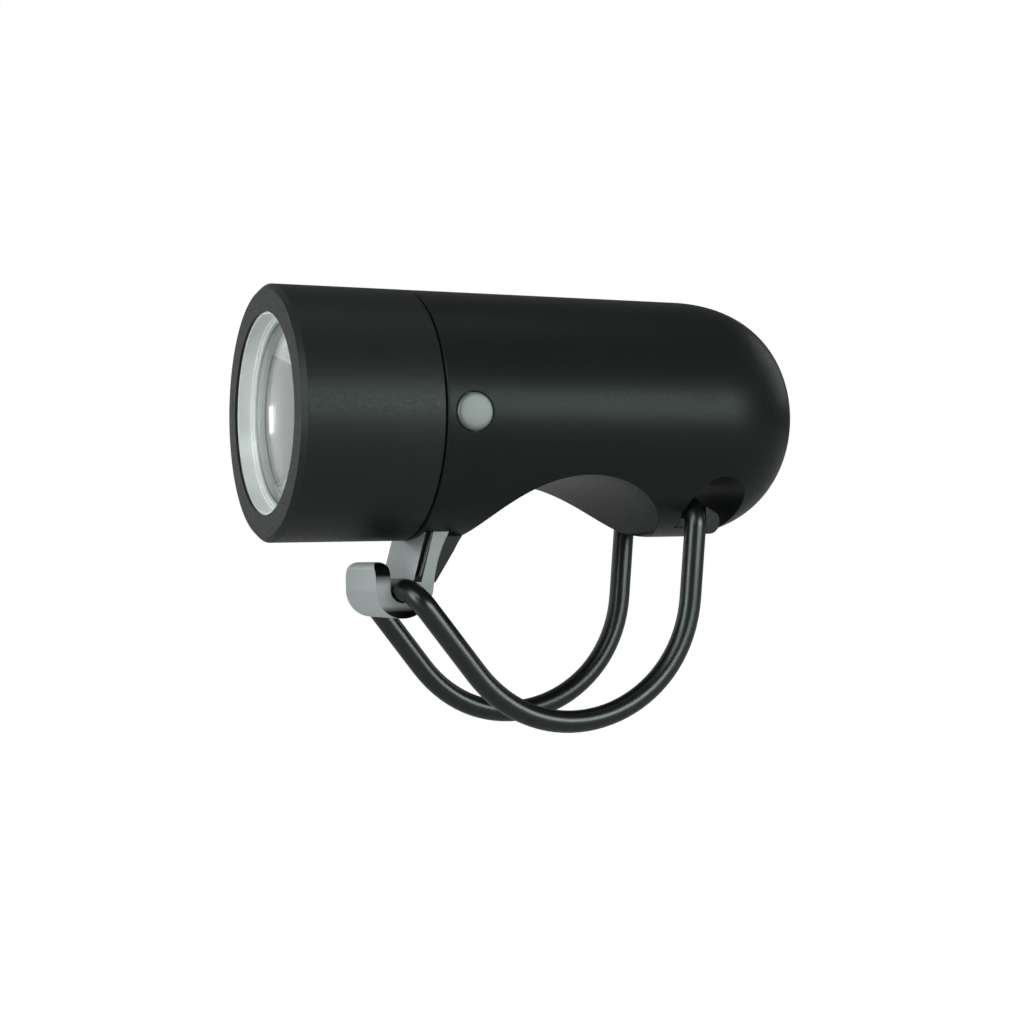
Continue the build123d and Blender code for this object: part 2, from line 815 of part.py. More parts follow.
with BuildPart() as driver_chips:
    with BuildSketch(station(driver_board_back, bore_rise)):
        with Locations((0, chip_offset), (0, -chip_offset)):
            Rectangle(chip_side, chip_side)
    extrude(amount=chip_height)
save(driver_chips.part, "driver_chips")

with BuildPart() as end_cap:
    with BuildSketch(station(capsule_end, bore_rise)):
        Circle(capsule_radius)
    extrude(amount=end_cap_length)
    chamfer(end_cap.edges().filter_by(GeomType.CIRCLE).sort_by(Axis.Y)[-1], end_cap_edge)
    with BuildSketch(station(capsule_end, bore_rise)):
        Circle(driver_board_radius)
    extrude(amount=plug_start - capsule_end, mode=Mode.SUBTRACT)
    with BuildSketch(station(capsule_end, bore_rise)):
        Rectangle(plug_width, plug_height)
    extrude(amount=end_cap_length, mode=Mode.SUBTRACT)
save(end_cap.part, "end_cap")

with BuildPart() as usb_plug_shell:
    with BuildSketch(station(plug_start, bore_rise)):
        Rectangle(plug_width, plug_height)
        Rectangle(plug_width - 2 * plug_wall, plug_height - 2 * plug_wall, mode=Mode.SUBTRACT)
    extrude(amount=plug_end - plug_start)
save(usb_plug_shell.part, "usb_plug_shell")

tongue_drop = plug_height / 2 - plug_wall - tongue_gap - tongue_height / 2
tongue_top = tongue_height / 2 - tongue_drop
with BuildPart() as usb_plug_tongue:
    with BuildSketch(station(driver_board_back, bore_rise)):
        with Locations((0, -tongue_drop)):
            Rectangle(plug_width - 2 * plug_wall - 3 * tongue_gap, tongue_height)
    extrude(amount=plug_end - driver_board_back)
save(usb_plug_tongue.part, "usb_plug_tongue")

with BuildPart() as usb_plug_contacts:
    with BuildSketch(station(plug_end - contact_end - contact_length, bore_rise)):
        with Locations((0, tongue_top + contact_height / 2)):
            with GridLocations(contact_pitch, 0, contact_count, 1):
                Rectangle(contact_width, contact_height)
    extrude(amount=contact_length)
save(usb_plug_contacts.part, "usb_plug_contacts")
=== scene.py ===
# %% [markdown]
# # A bike headlight
#
# The CAD model brings every rigid piece in its real size and place. This lesson dresses those
# pieces: it sets a camera and soft light, makes each plastic, metal and rubber finish from
# nodes, and models anew the few soft and small pieces that a CAD solid can't show well.
# The model is loaded first, and its box is kept.

import math

import bmesh
import bpy
from mathutils import Matrix, Vector


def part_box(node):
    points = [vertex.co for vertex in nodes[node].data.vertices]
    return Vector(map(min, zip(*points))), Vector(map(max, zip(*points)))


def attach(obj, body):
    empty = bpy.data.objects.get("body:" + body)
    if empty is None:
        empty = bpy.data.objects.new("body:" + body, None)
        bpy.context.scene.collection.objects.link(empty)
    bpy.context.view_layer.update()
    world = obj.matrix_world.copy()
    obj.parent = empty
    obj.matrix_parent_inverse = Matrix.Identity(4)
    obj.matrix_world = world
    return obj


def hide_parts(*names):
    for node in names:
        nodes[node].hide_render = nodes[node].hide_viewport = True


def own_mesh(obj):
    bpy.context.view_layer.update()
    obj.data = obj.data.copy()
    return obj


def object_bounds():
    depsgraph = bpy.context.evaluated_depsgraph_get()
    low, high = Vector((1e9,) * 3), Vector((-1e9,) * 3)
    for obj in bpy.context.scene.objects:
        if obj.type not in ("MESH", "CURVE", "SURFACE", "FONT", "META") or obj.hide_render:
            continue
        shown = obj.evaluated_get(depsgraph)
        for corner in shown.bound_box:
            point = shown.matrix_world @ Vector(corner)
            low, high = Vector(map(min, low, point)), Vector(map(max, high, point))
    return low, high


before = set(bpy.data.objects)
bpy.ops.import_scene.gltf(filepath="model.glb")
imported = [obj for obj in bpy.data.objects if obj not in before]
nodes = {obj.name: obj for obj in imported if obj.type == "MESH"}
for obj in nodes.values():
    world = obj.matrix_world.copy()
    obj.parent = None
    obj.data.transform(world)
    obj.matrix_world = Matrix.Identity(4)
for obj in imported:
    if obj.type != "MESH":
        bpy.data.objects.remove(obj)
cad_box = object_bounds()
scene = bpy.context.scene
scene.view_settings.view_transform = "Standard"
MM = 0.001
print("nodes", len(nodes), "box", [[round(v, 4) for v in corner] for corner in cad_box])

# %% [markdown]
# ## The camera
#
# The photograph looks at the light's right flank, a little from the front and a hair from below.
# A camera is an object whose own -Z axis looks forward, so its three axes are the columns of a
# matrix, which is then moved to the camera's place. The axes, the place and the lens were fitted
# to the light's outline. The lens is long, which keeps the round body from swelling towards the
# viewer.


# %% Camera
def new_object(name, data):
    """An object for a mesh, a lamp or a camera, linked to the scene."""
    made = bpy.data.objects.new(name, data)
    scene.collection.objects.link(made)
    return made


camera_data = bpy.data.cameras.new("photo_camera")
camera_data.sensor_width = 36
camera_data.lens = 61.85
camera_data.clip_start = 0.005
camera = new_object("photo_camera", camera_data)
camera_right = Vector((0.4179, 0.9083, -0.0196)).normalized()
camera_back = Vector((0.908, -0.4183, -0.0243)).normalized()
camera_up = camera_back.cross(camera_right).normalized()
camera_right = camera_up.cross(camera_back)
camera_place = Vector((216.34, -104.74, 7.49)) * MM
camera_axes = Matrix((camera_right, camera_up, camera_back)).transposed()
camera.matrix_world = Matrix.Translation(camera_place) @ camera_axes.to_4x4()
scene.camera = camera
print("camera stands at", [round(v, 3) for v in camera_place])

# %% [markdown]
# ## Node helpers
#
# A material is a tree of small nodes, and written out one by one they hide what it does. Four
# helpers keep it readable: one feeds an input from a value or from another node, and the others
# add a node of any kind, a sum, or a mix of two colours. A fifth turns a colour as a screen
# shows it into the linear values that shaders use.


# %% Nodes, sums and mixes
def plug(tree, target, value):
    """Feeds an input: links it from an output socket, or sets it to a value."""
    if isinstance(value, bpy.types.NodeSocket):
        tree.links.new(value, target)
    else:
        target.default_value = value


def node_link(tree, kind, **sockets):
    """Adds a node and feeds its inputs, whose names have underscores here for spaces."""
    node = tree.nodes.new(kind)
    for key, value in sockets.items():
        plug(tree, node.inputs[key.replace("_", " ")], value)
    return node


def math_node(tree, operation, *values):
    """A sum, product or the like of sockets and numbers, as a socket."""
    node = tree.nodes.new("ShaderNodeMath")
    node.operation = operation
    for target, value in zip(node.inputs, values):
        plug(tree, target, value)
    return node.outputs[0]


def colour_mix(tree, factor, first, second):
    """The first colour where the factor is 0 and the second where it is 1, as a socket."""
    mix = tree.nodes.new("ShaderNodeMix")
    mix.data_type = "RGBA"
    tree.links.new(factor, mix.inputs["Factor"])
    # the node also has inputs for numbers and vectors, and these two are its colours
    plug(tree, mix.inputs[6], first)
    plug(tree, mix.inputs[7], second)
    return mix.outputs[2]


def linear(red, green, blue):
    """An 8-bit screen colour as the linear values that shaders use."""
    def one(value):
        value /= 255
        return value / 12.92 if value <= 0.04045 else ((value + 0.055) / 1.055) ** 2.4
    return (one(red), one(green), one(blue), 1)


print("white is", linear(255, 255, 255), "and middle grey", round(linear(128, 128, 128)[0], 3))

# %% [markdown]
# ## One helper for every finish
#
# Every finish here starts the same way, round one Principled BSDF: a noise in the piece's own
# coordinates, in metres, gives fine grain for the bump and the roughness, and a slow one gives a
# faint change of tone, as moulded plastic and rolled metal have. The grain's size is given in
# millimetres, because a noise scale in metres says little. A Bevel node bends the shading over
# the last fraction of a millimetre of each edge, so that a moulded edge catches light as a thin
# line while the mesh stays as it is. The strap, the cup and the lens go without it, because it
# can speckle on a thin tube or behind glass.

# %% The finish helper
patches_per_metre = 90.0
noise_low, noise_high = 0.3, 0.7


def finish(name, colour, rough=0.5, grain_mm=0.25, depth_mm=0.01, drift=0.12, metal=0.0,
           specular=0.5, rough_drift=0.08, edge_mm=0.1, **extra):
    """A moulded or metal finish with grain, a faint change of tone, and its own roughness."""
    material = bpy.data.materials.new(name)
    material.use_nodes = True
    tree = material.node_tree
    shader = tree.nodes["Principled BSDF"]
    where = node_link(tree, "ShaderNodeTexCoord").outputs["Object"]
    slow = node_link(tree, "ShaderNodeTexNoise", Vector=where, Scale=patches_per_metre, Detail=3.0)
    grain = node_link(tree, "ShaderNodeTexNoise", Vector=where, Scale=1000 / grain_mm, Detail=2.0)
    dark, light = (
        [min(1, part * share) for part in linear(*colour)[:3]] + [1]
        for share in (1 - drift, 1 + drift)
    )
    tone = colour_mix(tree, slow.outputs["Fac"], dark, light)
    tree.links.new(tone, shader.inputs["Base Color"])
    spread = node_link(tree, "ShaderNodeMapRange", Value=grain.outputs["Fac"],
                       From_Min=noise_low, From_Max=noise_high,
                       To_Min=rough - rough_drift, To_Max=rough + rough_drift)
    tree.links.new(spread.outputs[0], shader.inputs["Roughness"])
    bump = node_link(tree, "ShaderNodeBump", Strength=1.0, Distance=depth_mm * MM,
                     Height=grain.outputs["Fac"])
    if edge_mm:
        edge = node_link(tree, "ShaderNodeBevel", Radius=edge_mm * MM)
        edge.samples = 4
        tree.links.new(edge.outputs[0], bump.inputs["Normal"])
    tree.links.new(bump.outputs[0], shader.inputs["Normal"])
    shader.inputs["Metallic"].default_value = metal
    shader.inputs["Specular IOR Level"].default_value = specular
    for key, value in extra.items():
        shader.inputs[key.replace("_", " ")].default_value = value
    return material


print("tone changes over about", round(1000 / patches_per_metre), "mm")

# %% [markdown]
# ## The outside
#
# The body is moulded in a matt black with a very fine spark texture. It reads as a deep grey
# with a broad, soft sheen along its upper flank. A low specular level with a middle roughness
# gives that sheen without a hard streak, and a faint green in the specular tint gives it the
# cool tone of the black plastic. The ring, the button and the hook are grey with a little metal
# in their paint, and the strap is a smooth, glossy rubber.

# %% Finishes of the housing and the head
body_black = finish("body_black", (19, 23, 22), rough=0.35, grain_mm=0.22, depth_mm=0.004,
                    specular=0.13, edge_mm=0.25, Specular_Tint=(0.84, 1.0, 0.94, 1))
collar_black = finish("collar_black", (20, 24, 23), rough=0.44, grain_mm=0.2, depth_mm=0.004,
                      specular=0.25, Specular_Tint=(0.86, 1.0, 0.95, 1))
ring_grey = finish("ring_grey", (218, 225, 223), rough=0.28, grain_mm=0.2, depth_mm=0.001,
                   drift=0.03, metal=0.25, rough_drift=0.004)
reflector_white = finish("reflector_white", (112, 122, 119), rough=0.14, grain_mm=0.8,
                         depth_mm=0.0008, drift=0.02, metal=1.0, rough_drift=0.01, edge_mm=0)
button_grey = finish("button_grey", (80, 90, 87), rough=0.36, grain_mm=0.2, depth_mm=0.002,
                     drift=0.05, metal=0.35, rough_drift=0.01, edge_mm=0.2)
hook_grey = finish("hook_grey", (172, 181, 181), rough=0.3, grain_mm=0.3, depth_mm=0.0006,
                   drift=0.04, metal=0.1, specular=0.05, rough_drift=0.02, edge_mm=0.2)
strap_rubber = finish("strap_rubber", (8, 10, 9), rough=0.3, grain_mm=1.4, depth_mm=0.001,
                      specular=0.64, rough_drift=0.015, edge_mm=0,
                      Specular_Tint=(0.86, 1.0, 0.95, 1))
seal_rubber = finish("seal_rubber", (30, 32, 32), rough=0.6, grain_mm=0.15, depth_mm=0.004)
spring_rubber = finish("spring_rubber", (58, 60, 60), rough=0.6, grain_mm=0.15, depth_mm=0.004)
print("finishes of the outside made")

# %% [markdown]
# ## Painted shade on the hook
#
# The hook is moulded in grey with a fine metallic paint on its front. Its flanks have less metal
# and a darker grey, and that darker grey is painted shade. Its side groove and the rim and sole of
# its lip are painted near black on their side faces, as painted shade in the groove and along the
# lip's side. One material can hold all of that: masks made from the place and the direction of
# each point choose between the colours. They are read in the piece's own coordinates, so the
# pattern moves with the hook.


# %% Helpers for masks
def surface(tree):
    """The point on the piece, then the X, Y and Z of that point and of where it faces."""
    coordinates = node_link(tree, "ShaderNodeTexCoord").outputs
    where = node_link(tree, "ShaderNodeSeparateXYZ", Vector=coordinates["Object"])
    facing = node_link(tree, "ShaderNodeSeparateXYZ", Vector=coordinates["Normal"])
    return coordinates["Object"], where.outputs, facing.outputs


def ramp_up(tree, value, start, end):
    """A factor that rises from 0 at the start to 1 at the end."""
    return node_link(tree, "ShaderNodeMapRange", Value=value, From_Min=start,
                     From_Max=end).outputs[0]


def reach(tree, point, direction):
    """How far a point lies in a direction, as a socket."""
    node = tree.nodes.new("ShaderNodeVectorMath")
    node.operation = "DOT_PRODUCT"
    tree.links.new(point, node.inputs[0])
    node.inputs[1].default_value = direction
    return node.outputs["Value"]


def paint_over(tree, *layers):
    """Lays 8-bit colours over a finish in turn, each where its mask is 1."""
    target = tree.nodes["Principled BSDF"].inputs["Base Color"]
    tone = target.links[0].from_socket
    for mask, colour in layers:
        tone = colour_mix(tree, mask, tone, linear(*colour))
    tree.links.new(tone, target)


# %% Painted shade on the hook's flanks, groove and rim
hook_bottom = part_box("hook")[0][2]
lip_back = -24.2 * MM
# where the painted shade on the lip's rim and sole starts and ends
lip_rim_start, lip_rim_end = hook_bottom + 4.3 * MM, hook_bottom + 5.6 * MM
sole_start, sole_end = hook_bottom + 1.7 * MM, hook_bottom + 0.9 * MM
stem_normal = Vector((0, 0.9625, -0.2715))
groove_start = Vector((0, -19.93, 11.1)).dot(stem_normal) * MM
groove_width = 1.07 * MM
groove_foot = 4.2 * MM
flank_from, flank_to = 0.45, 0.8
side_from, side_to = 0.15, 0.4


def paint_hook_shade(material, flank_shade_colour, painted_shade_colour, front_metal):
    """Painted shade: darker flanks, a dark groove behind the stem's front, and a dark rim and
    sole.
    """
    tree = material.node_tree
    point, where, facing = surface(tree)
    aside = math_node(tree, "ABSOLUTE", facing["X"])
    shaded_flank = ramp_up(tree, aside, flank_from, flank_to)
    lip = math_node(tree, "LESS_THAN", where["Y"], lip_back)
    high = ramp_up(tree, where["Z"], lip_rim_start, lip_rim_end)
    lip_rim_shade = math_node(tree, "MULTIPLY", lip, high)
    sole_shade = ramp_up(tree, where["Z"], sole_start, sole_end)
    depth = reach(tree, point, stem_normal)
    behind = math_node(tree, "GREATER_THAN", depth, groove_start)
    before = math_node(tree, "LESS_THAN", depth, groove_start + groove_width)
    above = math_node(tree, "GREATER_THAN", where["Z"], groove_foot)
    groove_shade = math_node(tree, "MULTIPLY", math_node(tree, "MULTIPLY", behind, before), above)
    # the groove, the lip's rim and its sole are painted shade, near black on the side faces
    dark = math_node(tree, "MAXIMUM", groove_shade, math_node(tree, "MAXIMUM", lip_rim_shade, sole_shade))
    dark = math_node(tree, "MULTIPLY", dark, ramp_up(tree, aside, side_from, side_to))
    paint_over(tree, (shaded_flank, flank_shade_colour), (dark, painted_shade_colour))
    metal = math_node(tree, "MULTIPLY", math_node(tree, "SUBTRACT", 1.0, shaded_flank), front_metal)
    tree.links.new(metal, tree.nodes["Principled BSDF"].inputs["Metallic"])


# the darker flank grey and the near black are painted shade
paint_hook_shade(hook_grey, (126, 134, 133), (8, 10, 10), 0.55)
print("the hook's groove is", round(groove_width / MM, 2), "mm wide")

# %% [markdown]
# ## White and bright walls in the cup
#
# The cup behind the lens is one moulding, and its walls have a mirror coat, to throw the light
# wide. The coat would be a second piece in CAD, but it is thinner than a hair, so it is set here
# by the direction of each wall: what looks forward at the rim is a plain grey, and the rest is
# metal. What looks up or down, and the cup beyond its flat mouth, is painted white in place of
# metal, as a painted reflection of the bright room that the mirror shows on the walls above and
# below.

# %% The coat and painted reflections on the cup's walls
cup_low, cup_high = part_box("reflector")
cup_z = (cup_low[2] + cup_high[2]) / 2
mouth_height = 8.9 * MM
level_from = 0.35
rim_facing = -0.9


def coat_and_paint_reflections(material, white, grey):
    """Leaves the metal on the side walls alone, under a grey rim and white walls that are a
    painted reflection.
    """
    tree = material.node_tree
    _, where, facing = surface(tree)
    rise = math_node(tree, "ABSOLUTE", facing["Z"])
    level = math_node(tree, "GREATER_THAN", rise, level_from)
    far = math_node(tree, "ABSOLUTE", math_node(tree, "SUBTRACT", where["Z"], cup_z))
    outside = math_node(tree, "GREATER_THAN", far, mouth_height)
    painted_reflection = math_node(tree, "MAXIMUM", level, outside)
    rim = math_node(tree, "LESS_THAN", facing["Y"], rim_facing)
    # the white on the walls above and below is a painted reflection
    paint_over(tree, (rim, grey), (painted_reflection, white))
    coated = math_node(tree, "SUBTRACT", 1.0, math_node(tree, "MAXIMUM", painted_reflection, rim))
    tree.links.new(coated, tree.nodes["Principled BSDF"].inputs["Metallic"])


# the near white is a painted reflection; the grey of the rim is a plain colour
coat_and_paint_reflections(reflector_white, (250, 252, 251), (80, 87, 85))
print("the cup's mouth is flat", round(mouth_height / MM, 1), "mm above and below its middle")

# %% [markdown]
# ## The inner pieces
#
# Inside are a cell in a plastic sleeve, two green boards, a heat sink of bare aluminium, and
# plain steel, brass and plastic parts. Little of them shows, and only when the capsule is pulled
# out, so each gets one call of the same helper, with its own colour, roughness and grain. The
# lens is clear plastic: full transmission, almost no roughness, and an IOR of 1.49.

# %% Finishes of the inner pieces
led_yellow = finish("led_yellow", (238, 214, 92), rough=0.35, grain_mm=0.12, depth_mm=0.002,
                    drift=0.06)
board_green = finish("board_green", (28, 92, 58), rough=0.4, grain_mm=0.5, depth_mm=0.003)
bare_aluminium = finish("bare_aluminium", (200, 202, 204), rough=0.32, metal=1.0, grain_mm=0.12,
                        depth_mm=0.002, drift=0.05)
screw_steel = finish("screw_steel", (176, 178, 180), rough=0.28, metal=1.0, grain_mm=0.1,
                     depth_mm=0.001, drift=0.05)
lead_rubber = finish("lead_rubber", (168, 36, 32), rough=0.5, grain_mm=0.2, depth_mm=0.003)
carrier_black = finish("carrier_black", (44, 47, 48), rough=0.5, grain_mm=0.3, depth_mm=0.006)
cell_sleeve = finish("cell_sleeve", (54, 92, 128), rough=0.35, grain_mm=0.6, depth_mm=0.003)
contact_brass = finish("contact_brass", (206, 172, 96), rough=0.3, metal=1.0, grain_mm=0.1,
                       depth_mm=0.001, drift=0.05)
switch_black = finish("switch_black", (34, 34, 36), rough=0.45, grain_mm=0.15, depth_mm=0.003)
plug_steel = finish("plug_steel", (196, 198, 200), rough=0.25, metal=1.0, grain_mm=0.15,
                    depth_mm=0.001, drift=0.04)
tongue_white = finish("tongue_white", (226, 226, 222), rough=0.45, grain_mm=0.2, depth_mm=0.003,
                      drift=0.04)
clear_lens = finish("clear_lens", (236, 242, 242), rough=0.06, grain_mm=2.0, depth_mm=0.0004,
                    drift=0.01, rough_drift=0.02, edge_mm=0, Transmission_Weight=1.0, IOR=1.49)
print("finishes made", len(bpy.data.materials))

# %% [markdown]
# ## Dressing the CAD pieces
#
# A CAD piece arrives with one plain material. Its slots are emptied and filled with the finish,
# and its mesh and its place are left alone. A table says who wears what.

# %% Who wears what
wearing = {
    "body_shell": body_black, "head_collar": collar_black, "lens_ring": ring_grey,
    "front_lens": clear_lens, "reflector": reflector_white, "led_emitter": led_yellow,
    "button_cap": button_grey, "hook": hook_grey, "hook_pins": screw_steel,
    "led_board": board_green, "heat_puck": bare_aluminium, "head_screws": screw_steel,
    "led_leads": lead_rubber, "carrier": carrier_black, "battery_cell": cell_sleeve,
    "cell_contacts": contact_brass, "tactile_switch": switch_black, "driver_board": board_green,
    "driver_chips": switch_black, "end_cap": carrier_black, "usb_plug_shell": plug_steel,
    "usb_plug_tongue": tongue_white, "usb_plug_contacts": contact_brass,
    "button_retainer": switch_black, "lens_gasket": seal_rubber, "seam_seal": seal_rubber,
    "button_spring": spring_rubber, "strap": strap_rubber,
}
for node_name, material in wearing.items():
    slots = nodes[node_name].data.materials
    slots.clear()
    slots.append(material)
print("dressed", len(wearing), "of", len(nodes))

# %% [markdown]
# ## The rubber strap
#
# The strap is one endless round cord of moulded rubber. It passes through the hole at the rear,
# runs down both sides of the bar's place and lies in the trough of the hook. A closed Bezier
# curve follows that route: each corner becomes two points whose handles make a round arc, and a
# round bevel gives the curve its thickness. It is then made a mesh.


# %% A closed route with round corners
def rounded_loop(corners, radii):
    """Bezier points of a closed route: two for each corner, with handles that make an arc."""
    points = []
    count = len(corners)
    for i, corner in enumerate(corners):
        before = (corners[i - 1] - corner).normalized()
        after = (corners[(i + 1) % count] - corner).normalized()
        turn = math.pi - before.angle(after)
        cut = radii[i] * math.tan(turn / 2)
        handle = 4 / 3 * math.tan(turn / 4) * radii[i]
        first = corner + before * cut
        last = corner + after * cut
        points.append([first, first, first - before * handle])
        points.append([last, last - after * handle, last])
    for i in range(1, len(points) + 1, 2):
        start, end = points[i], points[(i + 1) % len(points)]
        third = (end[0] - start[0]) / 3
        start[2] = start[0] + third
        end[1] = end[0] - third
    return points


def tube(name, points, radius):
    """A closed round tube along Bezier points, as a mesh."""
    curve = bpy.data.curves.new(name, "CURVE")
    curve.dimensions = "3D"
    curve.resolution_u = 36
    curve.bevel_depth = radius
    curve.bevel_resolution = 8
    spline = curve.splines.new("BEZIER")
    spline.bezier_points.add(len(points) - 1)
    for spot, (middle, left, onward) in zip(spline.bezier_points, points):
        spot.handle_left_type = spot.handle_right_type = "FREE"
        spot.co, spot.handle_left, spot.handle_right = middle, left, onward
    spline.use_cyclic_u = True
    mesh = bpy.data.meshes.new_from_object(bpy.data.objects.new(name, curve))
    mesh.name = name
    mesh.shade_smooth()
    return new_object(name, mesh)


def take_place(piece, body, slot, *stands_for):
    """Makes a piece ride on a body and hides the node that it stands for. The slot is not used."""
    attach(piece, body)
    if stands_for:
        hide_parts(*stands_for)
    print(piece.name, "faces", len(piece.data.polygons))
    return piece


# %% Strap
strap_radius = 1.47 * MM
fold_bend, bar_bend = 3, 17.6
# the place of each corner and the radius of its bend, in millimetres
right_side = [
    (10.2, 17.83, 13.80, fold_bend),
    (9.9, 12.1, -42.5, bar_bend),
    (9.3, -23.3, 3.25, fold_bend),
]
route = right_side + [(-x, y, z, bend) for x, y, z, bend in reversed(right_side)]
corners = [Vector((x, y, z)) * MM for x, y, z, _ in route]
radii = [bend * MM for _, _, _, bend in route]
strap = tube("strap_loop_rubber", rounded_loop(corners, radii), strap_radius)
strap.data.materials.append(strap_rubber)
take_place(strap, "strap_loop", "strap_rubber", "strap")

# %% [markdown]
# ## Seals
#
# The seals are rings of soft rubber, so their sections have cut corners. A ring is made like a
# potter's work: a small section is drawn beside the axis and spun round it once. Other turned
# pieces follow the same way, so the spin is a helper, and so is what every mesh needs at its
# end: doubles merged, faces turned outwards, sharp edges kept sharp, and a finish.

# %% Helpers for turned pieces
same_point = 0.0005 * MM
corner_share = 0.3


def mesh_from(bm, name):
    """A mesh made from a bmesh, which is freed."""
    mesh = bpy.data.meshes.new(name)
    bm.to_mesh(mesh)
    bm.free()
    return mesh


def finished(bm, name, material, body, slot, *stands_for):
    """Turns a bmesh into a piece with its finish, its body and the node it stands for."""
    bmesh.ops.remove_doubles(bm, verts=bm.verts, dist=same_point)
    bmesh.ops.recalc_face_normals(bm, faces=bm.faces)
    mesh = mesh_from(bm, name)
    mesh.shade_smooth()
    mesh.set_sharp_from_angle(angle=math.radians(40))
    mesh.materials.append(material)
    return take_place(new_object(name, mesh), body, slot, *stands_for)


def spun(profile, centre, axis, outward, steps=96, closed=True):
    """A bmesh of a profile of (along, out) pairs in metres, spun once round an axis."""
    bm = bmesh.new()
    axis, outward, centre = Vector(axis), Vector(outward), Vector(centre)
    verts = [bm.verts.new(centre + axis * along + outward * out) for along, out in profile]
    first = 0 if closed else 1
    edges = [bm.edges.new((verts[i - 1], verts[i])) for i in range(first, len(verts))]
    bmesh.ops.spin(bm, geom=verts + edges, cent=centre, axis=axis, angle=2 * math.pi,
                   steps=steps, use_merge=True)
    return bm


def soft_section(start, end, inner, outer):
    """A rectangle of (along, out) pairs with cut corners."""
    cut = corner_share * min(end - start, outer - inner)
    return [
        (start + cut, inner), (end - cut, inner), (end, inner + cut), (end, outer - cut),
        (end - cut, outer), (start + cut, outer), (start, outer - cut), (start, inner + cut),
    ]


# %% Seals
seal_width = 1.0 * MM
for node_name in ("seam_seal", "lens_gasket"):
    low_corner, high_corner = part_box(node_name)
    middle = (0, 0, (low_corner[2] + high_corner[2]) / 2)
    outer = (high_corner[0] - low_corner[0]) / 2
    section = soft_section(low_corner[1], high_corner[1], outer - seal_width, outer)
    ring = spun(section, middle, (0, 1, 0), (1, 0, 0))
    finished(ring, node_name + "_ring", seal_rubber, "lamp_module", "seal_rubber", node_name)

# %% [markdown]
# ## The button's bellows
#
# The rubber behind the button pushes it back out. It is a thin bellows with one fold, a wide ring
# at each end and a narrow waist between them, spun from a zigzag outline. When the button goes in,
# the real bellows gets shorter.

# %% Button bellows
waist_step = 0.35 * MM
bellows_wall = 0.2 * MM
low_corner, high_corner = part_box("button_spring")
middle = (0, (low_corner[1] + high_corner[1]) / 2, (low_corner[2] + high_corner[2]) / 2)
outer = (high_corner[1] - low_corner[1]) / 2
waist = (low_corner[0] + high_corner[0]) / 2
folds = [
    (low_corner[0], outer), (waist, outer - waist_step), (high_corner[0], outer),
    (high_corner[0], outer - bellows_wall), (waist, outer - waist_step - bellows_wall),
    (low_corner[0], outer - bellows_wall),
]
bellows = spun(folds, middle, (1, 0, 0), (0, 1, 0), steps=48)
bellows = finished(bellows, "button_bellows", spring_rubber, "button", "spring_rubber",
                   "button_spring")
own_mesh(bellows)

# %% [markdown]
# ## The button's cap
#
# The power button is one small turned cap: a nearly flat crown with a rounded edge, a flange
# below that keeps it in the body, and a stem that reaches the switch. Its outline is drawn once
# beside the axis and spun, and the crown's edge is then bevelled, because that narrow round rim
# is what catches the light in the photograph.

# %% Button cap
cap_low, cap_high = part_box("button_cap")
cap_middle = (0, (cap_low[1] + cap_high[1]) / 2, (cap_low[2] + cap_high[2]) / 2)
flange_radius = (cap_high[1] - cap_low[1]) / 2
flange_step = 0.53 * MM
flange_thickness = 0.3 * MM
crown_fall = 0.1 * MM
crown_round = 0.3 * MM
stem_radius = 1.5 * MM
cap_radius = flange_radius - flange_step
flange_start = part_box("button_spring")[1][0]
flange_end = flange_start + flange_thickness
crown_edge = cap_high[0] - crown_fall
crown = [(cap_high[0] - fall * MM, out * MM) for fall, out in ((0, 0), (0.01, 0.8), (0.04, 1.6))]
outline = crown + [
    (crown_edge, cap_radius), (flange_end, cap_radius), (flange_end, flange_radius),
    (flange_start, flange_radius), (flange_start, stem_radius), (cap_low[0], stem_radius),
    (cap_low[0], 0),
]
cap = spun(outline, cap_middle, (1, 0, 0), (0, 1, 0), steps=72, closed=False)
bmesh.ops.remove_doubles(cap, verts=cap.verts, dist=same_point)
rim = [
    edge for edge in cap.edges
    if all(abs(vert.co.x - crown_edge) < same_point for vert in edge.verts)
]
bmesh.ops.bevel(cap, geom=rim, offset=crown_round, offset_type="OFFSET", segments=5,
                profile=0.5, affect="EDGES", material=-1)
finished(cap, "button_cap_turned", button_grey, "button", "button_grey", "button_cap")

# %% [markdown]
# ## The cell's contact springs
#
# Each end of the cell is met by a conical spring of brass wire. A small circle, the wire's
# section, is spun round the cell's axis for two and a half turns, and every step also moves a
# little along the axis, which turns the ring into a coil. The coil is then drawn in towards the
# cell, which makes it a cone.

